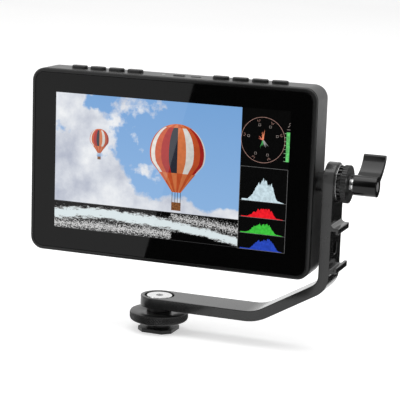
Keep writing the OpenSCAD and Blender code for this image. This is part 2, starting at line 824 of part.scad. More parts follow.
module key_body(x, l, w, up) in_monitor() {
    flange_l = l + 2 * key_flange_over;
    flange_w = w + 2 * key_flange_over;
    pill(flange_l, flange_w, inner_top - key_flange_t, inner_top, x, key_depth);
    pill(l, w, inner_top - overlap, case_top + up - 0.3, x, key_depth);
    pill(l - 0.5, w - 0.5, inner_top, case_top + up, x, key_depth);
}

module key(n) color("#1c1c1c")
    if (n <= len(key_spots)) key_body(key_spots[n - 1], key_l, key_w, key_up);

module power_button() color("#1c1c1c")
    key_body(power_x, power_l, button_w, button_up);

module input_button() color("#2a2a2a")
    key_body(input_x, input_l, button_w, low_button_up);

module pivot_collar() color("#1f1f1f") on_axis() {
    case_x = arm_reach - side_gap;
    difference() {
        union() {
            rod_x(case_x - collar_hole_in, case_x - wall_t, insert_boss_r);
            rod_x(case_x - wall_t - overlap, washer_x, collar_r);
            rod_x(washer_x - overlap, arm_out - 0.2, journal_r);
        }
        rod_x(case_x - collar_hole_in - 1, arm_out + 1, screw_r + run_gap);
    }
}

module arm_washer() color("#191919") on_axis() difference() {
    rod_x(washer_x, arm_reach, collar_r + 1.2);
    rod_x(washer_x - 1, arm_reach + 1, journal_r + run_gap);
}

function arm_outline() =
    let (
        t1 = slope_angle,
        t2 = 90 - slope_angle,
        run = slope_rise / tan(slope_angle),
        c1 = [arm_reach - run - low_bend_r * tan(t1 / 2), arm_top + low_bend_r],
        c2 = [arm_reach - high_bend_r, arm_top + slope_rise + high_bend_r * tan(t2 / 2)]
    )
    concat(
        [[0, arm_z]],
        arc(c1[0], c1[1], low_bend_r + arm_t, -90, -90 + t1, 6),
        arc(c2[0], c2[1], high_bend_r + arm_t, -90 + t1, 0, 10),
        [[arm_out, pivot_z + pivot_over], [arm_reach, pivot_z + pivot_over]],
        arc(c2[0], c2[1], high_bend_r, 0, -90 + t1, 8),
        arc(c1[0], c1[1], low_bend_r, -90 + t1, -90, 6),
        [[0, arm_top]]);

// One lip of the accessory channel, drawn in X and Z with Z counted from the channel's centre
module channel_lip() {
    edge = channel_w / 2;
    top = edge + lip_t;
    out = arm_out + channel_d + lip_t;
    polygon(concat(
        [[arm_out - overlap, edge], [arm_out - overlap, top + lip_fillet]],
        arc(arm_out + lip_fillet, top + lip_fillet, lip_fillet, 180, 270, 5),
        [[out, top], [out, edge - lip_hook], [arm_out + channel_d, edge - lip_hook], [arm_out + channel_d, edge]]));
}

module tilt_arm() color("#3e3e3e") difference() {
    union() {
        slab(-arm_w / 2, arm_w / 2) polygon(arm_outline());
        rod_z(arm_z, arm_top, arm_w / 2);
        rod_x(arm_reach, arm_out, arm_w / 2, 0, pivot_z + pivot_over);
        slab(-arm_w / 2, arm_w / 2) translate([0, channel_z]) {
            channel_lip();
            mirror([0, 1]) channel_lip();
        }
    }
    rod_z(web_z, arm_top + 1, counterbore_r);
    rod_z(arm_z - 1, web_z + 1, screw_r + run_gap);
    rod_x(arm_reach - 1, arm_out + 1, journal_r + run_gap, 0, pivot_z);
    rod_x(arm_reach - 1, arm_out + 1, thread_r, 0, channel_z);
}

module pressure_ring() color("#8a8a88") on_axis() difference() {
    rod_x(ring_x, ring_x + ring_t, ring_r);
    rod_x(ring_x - 1, ring_x + ring_t + 1, ring_bore_r);
}

module toothed_ring() color("#161616") on_axis() difference() {
    union() {
        rod_x(tooth_x, tooth_x + tooth_t, tooth_r - 0.9);
        for (i = [0:teeth - 1])
            rotate([360 * i / teeth, 0, 0]) translate([tooth_x + tooth_t / 2, 0, tooth_r - 0.9])
                slice(-tooth_t / 2, tooth_t / 2) polygon([[-0.75, -1], [0.75, -1], [0.4, 0.9], [-0.4, 0.9]]);
    }
    rod_x(tooth_x - 1, tooth_x + tooth_t + 1, screw_r + 0.5);
}

module thrust_washer() color("#b5b5b2") on_axis() difference() {
    rod_x(thrust_x, thrust_x + washer_t, wheel_r - 2.4);
    rod_x(thrust_x - 1, thrust_x + washer_t + 1, screw_r + run_gap);
}

module lock_wheel() color("#1d1d1d") on_axis() difference() {
    groove = 0.35;
    union() {
        slice(wheel_x, wheel_x + wheel_t) polygon([
            for (i = [0:wheel_grooves - 1], k = [0:3])
                let (
                    a = 360 * (i + [0, 0.35, 0.5, 0.85][k]) / wheel_grooves,
                    r = k < 2 ? wheel_r : wheel_r - groove
                )
                [r * cos(a), r * sin(a)]
        ]);
        rod_x(wheel_x + 1, wheel_x + wheel_t + wheel_boss_t, wheel_boss_r);
    }
    rod_x(wheel_x - 1, wheel_x + wheel_t + wheel_boss_t + 1, screw_r + run_gap);
}

module pivot_screw() color("#d8d8d6") on_axis()
    rod_x(screw_tip, hub_end - cap_t - 1, screw_r);

// Outline of the wing in Y and Z, a bent blade with a round tip
function bend(a, b, c, t) = (1 - t) * (1 - t) * a + 2 * t * (1 - t) * b + t * t * c;

module wing_outline() {
    root = [1.6, 1.9];
    middle = [wing_back * 0.78, wing_high * 0.48];
    tip = [wing_back, wing_high];
    steps = 10;
    function at(t) = bend(root, middle, tip, t);
    function side(t) = let (d = bend(root, middle, tip, t + 0.01) - at(t)) [-d[1], d[0]] / norm(d);
    function half(t) = 1.9 - 1.7 * t + 1.3 * t * t;
    polygon(concat(
        [for (i = [0:steps]) at(i / steps) + side(i / steps) * half(i / steps)],
        [for (i = [steps:-1:0]) at(i / steps) - side(i / steps) * half(i / steps)]));
    translate(tip) circle(r = half(1), $fn = small);
}

module wing_knob() color("#1a1a1a") on_axis() difference() {
    union() {
        rod_x(hub_x, hub_end, hub_r);
        slice(hub_end - wing_l, hub_end - 0.2) wing_outline();
    }
    rod_x(hub_x - 1, hub_end - cap_t - 1, screw_r);
    rod_x(hub_end - cap_t, hub_end + 1, cap_r);
}

module knob_cap() color("#b9b9b6") on_axis()
    rod_x(hub_end - cap_t, hub_end - 0.1, cap_r);

module shoe_foot() color("#1b1b1b") difference() {
    half = foot_w / 2;
    union() {
        linear_extrude(height = foot_t) polygon([
            for (q = [0:3], k = [0, 1])
                let (p = k == 0 ? [half, half - foot_cut] : [half - foot_cut, half])
                [cos(90 * q) * p[0] - sin(90 * q) * p[1], sin(90 * q) * p[0] + cos(90 * q) * p[1]]
        ]);
        rod_z(foot_t - overlap, arm_z, post_foot_r);
    }
    rod_z(disc_z, arm_z + 1, screw_r);
}

module foot_screw() color("#dcdcda") difference() {
    union() {
        rod_z(web_z - foot_screw_l, web_z + overlap, screw_r);
        rod_z(web_z, web_z + head_t, head_r);
    }
    translate([0, 0, web_z + head_t - 1.4]) cylinder(h = 3, r = 2, $fn = 6);
}

module lock_disc() color("#1c1c1c") difference() {
    rotate_extrude() polygon([
        [post_foot_r + run_gap, disc_z], [disc_low_r, disc_z], [disc_r, disc_z + disc_t - disc_rim],
        [disc_r, disc_z + disc_t - 0.3], [disc_r - 0.3, disc_z + disc_t], [post_foot_r + run_gap, disc_z + disc_t]
    ]);
    difference() {
        rod_z(disc_z - 1, disc_z + pad_t - pad_out, pad_out_r + run_gap);
        rod_z(disc_z - 2, disc_z + pad_t, pad_in_r - run_gap);
    }
}

module lock_pad() color("#2d2d2d") difference() {
    rod_z(disc_z - pad_out, disc_z + pad_t - pad_out, pad_out_r);
    rod_z(disc_z - 1, disc_z + pad_t + 1, pad_in_r);
}

front_bezel();
cover_glass();
lcd_panel();
backlight();
mid_frame();
lcd_flex();
main_board();
board_chips();
board_screws();
heat_spreader();
key_board();
key_switches();
key_flex();
status_light();
video_sockets();
phones_socket();
supply_socket();
rear_cover();
cover_screws();
thread_insert();
battery_plate();
battery_contacts();
plate_screws();
battery_latch();
latch_spring();
key(1);  // key_1
key(2);  // key_2
key(3);  // key_3
key(4);  // key_4
key(5);  // key_5
key(6);  // key_6
key(7);  // key_7
key(8);  // key_8
power_button();
input_button();
pivot_collar();
arm_washer();
tilt_arm();
pressure_ring();
toothed_ring();
thrust_washer();
lock_wheel();
pivot_screw();
wing_knob();
knob_cap();
shoe_foot();
foot_screw();
lock_pad();
lock_disc();
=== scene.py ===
import bpy
import bmesh
import json
import math
import random
from mathutils import Matrix, Vector

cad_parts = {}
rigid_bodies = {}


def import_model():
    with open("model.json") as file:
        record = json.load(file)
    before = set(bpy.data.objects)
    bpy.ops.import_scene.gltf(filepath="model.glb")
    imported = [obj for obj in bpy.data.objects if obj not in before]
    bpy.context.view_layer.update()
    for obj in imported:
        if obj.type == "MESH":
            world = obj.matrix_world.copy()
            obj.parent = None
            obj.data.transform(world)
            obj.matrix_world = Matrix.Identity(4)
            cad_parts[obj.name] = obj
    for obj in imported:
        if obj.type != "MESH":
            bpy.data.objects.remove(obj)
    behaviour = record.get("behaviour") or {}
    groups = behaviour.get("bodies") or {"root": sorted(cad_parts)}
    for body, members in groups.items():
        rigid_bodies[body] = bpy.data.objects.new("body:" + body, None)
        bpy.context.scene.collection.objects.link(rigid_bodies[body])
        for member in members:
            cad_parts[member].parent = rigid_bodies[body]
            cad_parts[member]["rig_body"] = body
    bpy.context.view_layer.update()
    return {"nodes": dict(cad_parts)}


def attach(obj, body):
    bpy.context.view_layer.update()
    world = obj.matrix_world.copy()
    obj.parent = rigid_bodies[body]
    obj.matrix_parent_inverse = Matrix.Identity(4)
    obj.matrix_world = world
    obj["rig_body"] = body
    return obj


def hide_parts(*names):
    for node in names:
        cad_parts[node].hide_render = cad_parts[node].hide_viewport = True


# Lengths are in millimetres in the row frame, and MM turns them into metres.
MM = 0.001
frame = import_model()
nodes = frame["nodes"]

# Middle of the case and front of the glass, as part.scad places them
CASE_X = 6.1
CASE_Z = 82.5
GLASS_Y = -9.45
# Radii and heights of the lock disc, as part.scad has them
DISC = dict(bore=6.05, low=13.75, rim=14.75, bottom=5.4, rim_z=6.0, top=9.9)
# Centre of the display as it is drawn on the glass
SCREEN_X = CASE_X + 0.42
SCREEN_Z = CASE_Z + 0.37
# Places on the display, in millimetres from its centre: u to the right, v up
HALF_WIDTH = 60.88
HALF_HEIGHT = 34.25
PICTURE_RIGHT = 36.8
SKY_BOTTOM = -20.2
TRACE_TOP = -20.7
TRACE_BOTTOM = -33.9
PANEL_LEFT = 36.95
PANEL_RIGHT = 60.7
GRAPH_LEFT = 38.2
GRAPH_WIDTH = 21.2
SCOPE_U = 47.7
SCOPE_V = 19.45
SCOPE_RADIUS = 10.9
# How far each layer of the drawing lies in front of the glass, in millimetres
GROUND_LIFT = 0.010
PICTURE_LIFT = 0.020
DETAIL_LIFT = 0.025
NEEDLE_LIFT = 0.028
TOP_LIFT = 0.030
# Specular level of the glass and of the fields drawn on it
GLASS_LEVEL = 0.19

# The camera that was fitted to the photo's outlines: place in millimetres, angles in degrees
CAMERA_PLACE = (279.82, -697.83, 215.63)
CAMERA_YAW = 20.426
CAMERA_PITCH = 11.192
CAMERA_ROLL = 1.938
CAMERA_LENS = 139.2

# Y of the upright dark cards, and Z of those that lie close over the floor, in millimetres
CARD_Y = -60
CARD_Z = 0.3

# Scale of the fine grain of plastic, and of the grain of bare metal
PLASTIC_GRAIN = 2500.0
METAL_GRAIN = 900.0
# Edges sharper than this are rounded off, and faces that meet at less than the other are shaded as one
SHARP_ANGLE = 32
BLEND_ANGLE = 50


# Shader helpers

def new_material(name):
    material = bpy.data.materials.new(name)
    material.use_nodes = True
    tree = material.node_tree
    tree.nodes.clear()
    shader = tree.nodes.new("ShaderNodeBsdfPrincipled")
    out = tree.nodes.new("ShaderNodeOutputMaterial")
    tree.links.new(shader.outputs["BSDF"], out.inputs["Surface"])
    return material, tree, shader


def node(tree, kind, **values):
    """A shader node; values whose name is an input go to that socket, the rest are attributes."""
    made = tree.nodes.new("ShaderNode" + kind)
    for name, value in values.items():
        if name in made.inputs:
            made.inputs[name].default_value = value
        else:
            setattr(made, name, value)
    return made


def coords(tree):
    return tree.nodes.new("ShaderNodeTexCoord").outputs["Object"]


def noise(tree, scale, detail=2.0, rough=0.5, vector=None):
    made = node(tree, "TexNoise", Scale=scale, Detail=detail, Roughness=rough)
    tree.links.new(vector or coords(tree), made.inputs["Vector"])
    return made.outputs["Fac"]


def ramp(tree, source, stops):
    made = tree.nodes.new("ShaderNodeValToRGB")
    elements = made.color_ramp.elements
    while len(elements) < len(stops):
        elements.new(0.5)
    for element, (place, colour) in zip(elements, stops):
        element.position = place
        element.color = (*colour, 1.0)
    tree.links.new(source, made.inputs["Fac"])
    return made.outputs["Color"]


def mapped(tree, source, a, b, low, high):
    """The source's stretch from a to b, laid over low to high and held at its ends."""
    made = node(tree, "MapRange")
    for socket, value in zip(made.inputs[1:5], (a, b, low, high)):
        socket.default_value = value
    tree.links.new(source, made.inputs["Value"])
    return made.outputs["Result"]


def math_node(tree, operation, a, b=None):
    made = node(tree, "Math", operation=operation)
    for socket, value in zip(made.inputs, (a, b)):
        if value is None:
            continue
        if isinstance(value, (int, float)):
            socket.default_value = value
        else:
            tree.links.new(value, socket)
    return made.outputs["Value"]


def add(tree, *terms):
    total = terms[0]
    for term in terms[1:]:
        total = math_node(tree, "ADD", total, term)
    return total


def times(tree, a, b):
    return math_node(tree, "MULTIPLY", a, b)


def mix_colour(tree, factor, a, b, blend="MIX"):
    made = node(tree, "Mix", data_type="RGBA", blend_type=blend)
    sockets = [made.inputs[0], made.inputs[6], made.inputs[7]]
    for socket, value in zip(sockets, (factor, a, b)):
        if isinstance(value, (int, float)):
            socket.default_value = value
        elif isinstance(value, tuple):
            socket.default_value = (*value, 1.0)
        else:
            tree.links.new(value, socket)
    return made.outputs[2]


def bump(tree, shader, height, strength, distance):
    made = node(tree, "Bump", Strength=strength, Distance=distance)
    tree.links.new(height, made.inputs["Height"])
    tree.links.new(made.outputs["Normal"], shader.inputs["Normal"])


def grey(value):
    return (value, value, value)


def tinted(colour, factor):
    return tuple(min(1.0, c * factor) for c in colour)


def srgb(r, g, b):
    """A screen colour of 0 to 255, as linear light."""
    return tuple((c / 255 / 12.92) if c <= 10 else ((c / 255 + 0.055) / 1.055) ** 2.4 for c in (r, g, b))


def plastic(name, colour, rough, relief=0.25, spread=0.12, level=0.5):
    """Moulded plastic or anodised metal with a fine grain."""
    material, tree, shader = new_material(name)
    shades = [(0.3, tinted(colour, 1 - spread)), (0.7, tinted(colour, 1 + spread))]
    cloud = ramp(tree, noise(tree, 60.0, 3.0), shades)
    tree.links.new(cloud, shader.inputs["Base Color"])
    wear = noise(tree, 240.0, 3.0)
    tree.links.new(mapped(tree, wear, 0, 1, rough - 0.05, rough + 0.05), shader.inputs["Roughness"])
    shader.inputs["Specular IOR Level"].default_value = level
    bump(tree, shader, noise(tree, PLASTIC_GRAIN, 2.0), relief, 0.00003)
    return material


def metal(name, colour, rough, brush=(1.0, 1.0, 1.0)):
    """Bare metal; brush squeezes the grain along one axis."""
    material, tree, shader = new_material(name)
    scaled = node(tree, "Mapping")
    scaled.inputs["Scale"].default_value = brush
    tree.links.new(coords(tree), scaled.inputs["Vector"])
    grainy = noise(tree, METAL_GRAIN, 3.0, vector=scaled.outputs["Vector"])
    tree.links.new(ramp(tree, grainy, [(0.3, tinted(colour, 0.9)), (0.7, tinted(colour, 1.06))]),
                   shader.inputs["Base Color"])
    tree.links.new(mapped(tree, grainy, 0, 1, rough - 0.04, rough + 0.06), shader.inputs["Roughness"])
    shader.inputs["Metallic"].default_value = 1.0
    bump(tree, shader, grainy, 0.08, 0.00002)
    return material


def board_green(name):
    """Solder mask with lighter tracks."""
    material, tree, shader = new_material(name)
    tracks = node(tree, "TexBrick", Scale=260.0)
    tracks.inputs["Color1"].default_value = (0.01, 0.10, 0.04, 1)
    tracks.inputs["Color2"].default_value = (0.012, 0.12, 0.05, 1)
    tracks.inputs["Mortar"].default_value = (0.03, 0.20, 0.09, 1)
    tracks.inputs["Mortar Size"].default_value = 0.03
    tree.links.new(coords(tree), tracks.inputs["Vector"])
    tree.links.new(tracks.outputs["Color"], shader.inputs["Base Color"])
    shader.inputs["Roughness"].default_value = 0.35
    bump(tree, shader, tracks.outputs["Fac"], 0.3, 0.00003)
    return material


def lit(name, make_colour, level=0.5):
    """What the display shows: light of its own under a polished surface."""
    material, tree, shader = new_material(name)
    shader.inputs["Base Color"].default_value = (0.002, 0.002, 0.002, 1)
    shader.inputs["Roughness"].default_value = 0.04
    shader.inputs["Specular IOR Level"].default_value = level
    tree.links.new(make_colour(tree), shader.inputs["Emission Color"])
    shader.inputs["Emission Strength"].default_value = 1.0
    return material


def speckled(colour, spread=0.15, scale=900.0):
    """A maker of a colour that varies a little from place to place."""
    stops = [(0.35, tinted(colour, 1 - spread)), (0.65, tinted(colour, 1 + spread))]
    return lambda tree: ramp(tree, noise(tree, scale), stops)


# Mesh helpers

def linked(name, data):
    """A new object in the scene."""
    obj = bpy.data.objects.new(name, data)
    bpy.context.scene.collection.objects.link(obj)
    return obj


def piece(name, verts, faces, material, body, smooth_angle=None):
    mesh = bpy.data.meshes.new(name)
    mesh.from_pydata([Vector(v) * MM for v in verts], [], faces)
    materials = material if isinstance(material, list) else [material]
    for m in materials:
        mesh.materials.append(m)
    mesh.validate()
    obj = linked(name, mesh)
    if smooth_angle:
        mesh.shade_smooth()
        mesh.set_sharp_from_angle(angle=math.radians(smooth_angle))
    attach(obj, body)
    return obj


def shade_by_area(mesh):
    """Smooth shading that keeps large flat faces flat: each corner's normal is weighed by area."""
    mesh.shade_smooth()
    touching = [[] for _ in mesh.vertices]
    weighed = []
    for face in mesh.polygons:
        weighed.append((face.normal.copy(), face.normal * face.area))
        for v in face.vertices:
            touching[v].append(face.index)
    least = math.cos(math.radians(BLEND_ANGLE))
    normals = []
    for face in mesh.polygons:
        own = weighed[face.index][0]
        for v in face.vertices:
            total = Vector((0, 0, 0))
            for other in touching[v]:
                if weighed[other][0].dot(own) > least:
                    total += weighed[other][1]
            normals.append(total.normalized() if total.length > 0 else own)
    mesh.normals_split_custom_set(normals)


def rounded(name, material, width, segments=2, edge=None):
    """A copy of a CAD node with its edges rounded off, in the node's place.

    width is in millimetres, and edge is the material of the rounded edges: a brighter metal there paints
    a highlight along them, and its gloss also reflects the real light.
    """
    source = nodes[name]
    bm = bmesh.new()
    bm.from_mesh(source.data)
    bmesh.ops.remove_doubles(bm, verts=bm.verts, dist=2e-6)
    bmesh.ops.dissolve_limit(bm, angle_limit=math.radians(0.5), verts=bm.verts, edges=bm.edges)
    least = math.radians(SHARP_ANGLE)
    sharp = [e for e in bm.edges if len(e.link_faces) == 2 and e.calc_face_angle(0) > least]
    bmesh.ops.bevel(bm, geom=sharp, offset=width * MM, offset_type="OFFSET", segments=segments,
                    profile=0.5, affect="EDGES", clamp_overlap=True, material=1 if edge else -1)
    bmesh.ops.triangulate(bm, faces=[f for f in bm.faces if len(f.verts) > 4])
    mesh = bpy.data.meshes.new(name + "_rounded")
    bm.to_mesh(mesh)
    bm.free()
    for m in [material] + ([edge] if edge else []):
        mesh.materials.append(m)
    shade_by_area(mesh)
    obj = linked(name + "_rounded", mesh)
    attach(obj, source["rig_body"])
    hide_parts(name)


def paint(name, material):
    obj = nodes[name]
    obj.data.materials.clear()
    obj.data.materials.append(material)


def turned(name, rows, count, material, body, radius, smooth_angle):
    """A ring turned about Z, closed from its last row to its first.

    rows are (radius, height), and radius(angle, k) gives the radius of a point in row k.
    """
    verts = []
    for k, (_, z) in enumerate(rows):
        for i in range(count):
            a = 2 * math.pi * i / count
            own = radius(a, k)
            verts.append((own * math.cos(a), own * math.sin(a), z))
    faces = []
    for k in range(len(rows)):
        n = (k + 1) % len(rows)
        for i in range(count):
            j = (i + 1) % count
            faces.append((k * count + i, k * count + j, n * count + j, n * count + i))
    return piece(name, verts, faces, material, body, smooth_angle)


# Materials

case_black = plastic("case_black", grey(0.006), 0.34, relief=0.3, level=0.3)
key_black = plastic("key_black", grey(0.010), 0.38)
satin_black = plastic("satin_black", grey(0.014), 0.17, relief=0.06)
gloss_black = plastic("gloss_black", grey(0.004), 0.16, relief=0.03, level=0.3)
anodised_black = plastic("anodised_black", grey(0.008), 0.30, relief=0.15, level=0.4)
rubber_black = plastic("rubber_black", grey(0.02), 0.7, relief=0.5)
moulded_black = plastic("moulded_black", grey(0.012), 0.5)
clear_light = plastic("clear_light", (0.55, 0.58, 0.55), 0.2, relief=0.05)
white_film = plastic("white_film", grey(0.75), 0.5, relief=0.05)
bright_steel = metal("bright_steel", grey(0.82), 0.16)
dark_steel = metal("dark_steel", grey(0.10), 0.35)
plated = metal("plated", grey(0.62), 0.28)
dull_alloy = metal("dull_alloy", grey(0.42), 0.36)
# A brighter bare metal for the rounded edges of black parts: it paints a highlight along them, and its
# gloss also reflects the real light
highlight_edge = metal("highlight_edge", grey(0.55), 0.22)
sheet = metal("sheet", (0.6, 0.61, 0.63), 0.35, brush=(1.0, 1.0, 0.05))
brass = metal("brass", (0.62, 0.47, 0.22), 0.3)
gold = metal("gold", (0.85, 0.62, 0.25), 0.22)
film_amber = plastic("film_amber", (0.42, 0.17, 0.03), 0.3, relief=0.05)
green_board = board_green("green_board")
glass_black = plastic("glass_black", grey(0.0018), 0.05, relief=0.0, spread=0.05, level=GLASS_LEVEL)

# CAD nodes that keep their shape

finishes = {
    "lcd_panel": white_film,
    "backlight": white_film,
    "mid_frame": sheet,
    "lcd_flex": film_amber,
    "key_flex": film_amber,
    "main_board": green_board,
    "key_board": green_board,
    "board_chips": moulded_black,
    "board_screws": plated,
    "heat_spreader": sheet,
    "key_switches": plated,
    "status_light": clear_light,
    "thread_insert": brass,
    "latch_spring": bright_steel,
    "thrust_washer": bright_steel,
    "lock_pad": rubber_black,
}
for name, material in finishes.items():
    paint(name, material)

# CAD nodes with rounded edges

rounded("front_bezel", case_black, 0.12)
rounded("rear_cover", case_black, 0.12)
rounded("cover_glass", glass_black, 0.15)
for name in ["key_%d" % i for i in range(1, 9)] + ["power_button", "input_button"]:
    rounded(name, key_black, 0.22)
rounded("battery_plate", case_black, 0.2)
rounded("battery_latch", moulded_black, 0.25)
rounded("battery_contacts", gold, 0.08)
rounded("cover_screws", dark_steel, 0.1)
rounded("plate_screws", plated, 0.1)
rounded("video_sockets", plated, 0.1)
rounded("phones_socket", moulded_black, 0.15)
rounded("supply_socket", moulded_black, 0.15)
rounded("pivot_collar", anodised_black, 0.15)
rounded("arm_washer", moulded_black, 0.15)
rounded("tilt_arm", satin_black, 0.35)
# The rings' rounded edges take the brighter metal, which paints a highlight along them
rounded("pressure_ring", anodised_black, 0.12, edge=highlight_edge)
rounded("toothed_ring", anodised_black, 0.14, edge=highlight_edge)
rounded("lock_wheel", anodised_black, 0.1)
rounded("pivot_screw", bright_steel, 0.15)
rounded("wing_knob", gloss_black, 0.5, segments=3)
rounded("knob_cap", dull_alloy, 0.12)
rounded("shoe_foot", anodised_black, 0.2)
rounded("foot_screw", bright_steel, 0.25)


# Lock disc with its knurl

def lock_disc():
    """The disc with a diamond knurl, where two sets of slanted grooves cross."""
    grooves = 66
    sides = 8 * grooves
    rim_rows = 15
    depth = 0.5
    end_depth = 0.3
    bore, low, rim = DISC["bore"], DISC["low"], DISC["rim"]
    bottom, top = DISC["bottom"], DISC["top"]
    knurl_low = DISC["rim_z"] + 0.15
    knurl_high = top - 0.45
    rows = [(bore, bottom), (low, bottom), (low + 0.2, bottom + 0.1), (rim - 0.35, DISC["rim_z"] - 0.1)]
    first = len(rows)
    for k in range(rim_rows):
        rows.append((rim, knurl_low + (knurl_high - knurl_low) * k / (rim_rows - 1)))
    last = len(rows) - 1
    rows += [(rim - 0.35, top - 0.15), (rim - 0.7, top), (bore + 0.4, top), (bore, top - 0.3)]

    def radius(angle, k):
        if k < first or k > last:
            return rows[k][0]
        if k in (first, last):
            return rim - end_depth
        turn = angle / (2 * math.pi) * grooves
        rise = (rows[k][1] - knurl_low) / (2 * math.pi * rim / grooves)
        groove = max(abs(2 * ((turn + s * rise) % 1.0) - 1) for s in (1, -1))
        return rim - depth * groove ** 1.6

    obj = turned("lock_disc_knurled", rows, sides, anodised_black, "disc", radius, 50)
    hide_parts("lock_disc")


lock_disc()


# Display

def sheet_piece(name, outline, lift, material, faces=None):
    """A thin flat drawing on the glass: (u, v) in mm from the display's centre, v up."""
    verts = [(SCREEN_X + u, GLASS_Y - lift, SCREEN_Z + v) for u, v in outline]
    return piece(name, verts, faces or [tuple(range(len(outline)))], material, "monitor")


def rect(u0, u1, v0, v1):
    """The corners of a rectangle, the same way round each time."""
    return [(u0, v0), (u1, v0), (u1, v1), (u0, v1)]


def strips(name, lines, width, lift, material):
    """Straight lines of one width on the glass."""
    points, faces = [], []
    for (u0, v0), (u1, v1) in lines:
        along = Vector((u1 - u0, v1 - v0)).normalized() * (width / 2)
        side = Vector((-along.y, along.x))
        base = len(points)
        for p, s in (((u0, v0), -1), ((u1, v1), -1), ((u1, v1), 1), ((u0, v0), 1)):
            points.append((p[0] + side.x * s, p[1] + side.y * s))
        faces.append((base, base + 1, base + 2, base + 3))
    sheet_piece(name, points, lift, material, faces)


def display_uv(tree):
    """Separate X and Z of the object coordinates, in millimetres from the display's centre."""
    split = tree.nodes.new("ShaderNodeSeparateXYZ")
    tree.links.new(coords(tree), split.inputs["Vector"])
    made = []
    for output, centre in (("X", SCREEN_X), ("Z", SCREEN_Z)):
        scaled = node(tree, "Math", operation="MULTIPLY_ADD")
        scaled.inputs[1].default_value = 1000.0
        scaled.inputs[2].default_value = -centre
        tree.links.new(split.outputs[output], scaled.inputs[0])
        made.append(scaled.outputs["Value"])
    return made


def sky_colour(tree):
    """Blue sky with clouds that thicken to the left and at the bottom."""
    u, v = display_uv(tree)
    blues = [(0.0, srgb(138, 178, 222)), (1.0, srgb(118, 163, 214))]
    blue = ramp(tree, mapped(tree, v, -20, 34, 0, 1), blues)
    puffs = noise(tree, 42.0, 7.0, 0.55)
    fine = noise(tree, 130.0, 6.0, 0.6)
    left = mapped(tree, u, -62, 22, 0.17, -0.24)
    low = mapped(tree, v, -20, -8, 0.34, 0.0)
    cover = add(tree, add(tree, puffs, left), add(tree, low, times(tree, fine, 0.12)))
    mask = ramp(tree, cover, [(0.555, grey(0.0)), (0.62, grey(1.0))])
    shades = [(0.3, srgb(176, 182, 198)), (0.52, srgb(214, 218, 226)), (0.7, srgb(240, 242, 244))]
    cloud = ramp(tree, noise(tree, 60.0, 5.0, 0.6), shades)
    return mix_colour(tree, mask, blue, cloud)


def trace_colour(tree):
    """The white trace of the waveform on black: a bright band with grainy haze above and below it."""
    u, v = display_uv(tree)

    def height(places):
        """The height of a curve through (share of the width, share of the height)."""
        curve = tree.nodes.new("ShaderNodeFloatCurve")
        points = curve.mapping.curves[0].points
        while len(points) < len(places):
            points.new(0.5, 0.5)
        for point, place in zip(points, places):
            point.location = place
        curve.mapping.update()
        tree.links.new(mapped(tree, u, -60.9, PICTURE_RIGHT, 0, 1), curve.inputs["Value"])
        return mapped(tree, curve.outputs["Value"], 0, 1, TRACE_BOTTOM, TRACE_TOP)

    def band(centre, half_width):
        off = math_node(tree, "ABSOLUTE", math_node(tree, "SUBTRACT", v, centre))
        return math_node(tree, "SUBTRACT", 1.0, math_node(tree, "DIVIDE", off, half_width))

    streaks = node(tree, "Mapping")
    streaks.inputs["Scale"].default_value = (0.3, 1.0, 1.0)
    tree.links.new(coords(tree), streaks.inputs["Vector"])
    grain = noise(tree, 900.0, 5.0, 0.8, streaks.outputs["Vector"])
    dots = noise(tree, 1500.0, 3.0, 0.85)
    core_places = [(0.0, 0.53), (0.28, 0.70), (0.43, 0.66), (0.58, 0.59), (0.74, 0.47), (0.9, 0.33)]
    core_places.append((1.0, 0.22))
    core = band(height(core_places), mapped(tree, u, -10, 20, 4.4, 3.3))
    upper = band(height([(0.0, 0.86), (0.64, 0.86), (0.81, 0.77), (1.0, 0.64)]), 4.2)
    lower = band(height([(0.0, 0.16), (0.3, 0.20), (0.65, 0.18), (1.0, 0.02)]), 4.4)
    bright = add(tree, times(tree, core, 0.62), times(tree, grain, 1.3))
    # From the left, the lower haze ends and the upper one begins near the middle of the display
    haze = math_node(tree, "MAXIMUM",
                     add(tree, times(tree, upper, 0.34), mapped(tree, u, 0, 3, -0.3, 0)),
                     add(tree, times(tree, lower, 0.36), mapped(tree, u, 2, 4, 0, -0.8)))
    haze = add(tree, haze, times(tree, dots, 1.6))
    body = ramp(tree, bright, [(0.84, grey(0.0)), (0.92, grey(0.30)), (1.0, (0.70, 0.78, 0.80))])
    mist = ramp(tree, times(tree, haze, 0.7), [(0.70, grey(0.0)), (0.74, grey(0.22)), (0.80, grey(0.62))])
    return mix_colour(tree, 1.0, body, mist, "LIGHTEN")


def screen_fields():
    """The black ground with the sky and the waveform on it."""
    ground = lit("screen_black", speckled(grey(0.0016)), level=GLASS_LEVEL)
    whole = rect(-HALF_WIDTH, HALF_WIDTH, -HALF_HEIGHT, HALF_HEIGHT)
    sheet_piece("screen_ground", whole, GROUND_LIFT, ground)
    sheet_piece("screen_sky", rect(-HALF_WIDTH, PICTURE_RIGHT, SKY_BOTTOM, HALF_HEIGHT), PICTURE_LIFT,
                lit("screen_sky", sky_colour, level=GLASS_LEVEL))
    sheet_piece("screen_trace", rect(-HALF_WIDTH, PICTURE_RIGHT, TRACE_BOTTOM, TRACE_TOP), PICTURE_LIFT,
                lit("screen_trace", trace_colour, level=GLASS_LEVEL))


def screen_lines():
    """The frame round the four graphs, and the lines over and under the waveform."""
    top, bottom = 6.2, -34.1
    corners = [(PANEL_LEFT, top), (PANEL_RIGHT, top), (PANEL_RIGHT, bottom), (PANEL_LEFT, bottom)]
    lines = list(zip(corners, corners[1:] + corners[:1]))
    lines += [((PANEL_LEFT, v), (PANEL_RIGHT, v)) for v in (-10.3, -18.3, -26.2)]
    strips("screen_frame", lines, 0.16, TOP_LIFT, lit("line_grey", speckled(grey(0.16))))
    across = [((-HALF_WIDTH, v), (PICTURE_RIGHT, v)) for v in (-20.45, TRACE_BOTTOM)]
    strips("screen_trace_line", across, 0.14, TOP_LIFT, lit("line_dim", speckled(grey(0.05))))


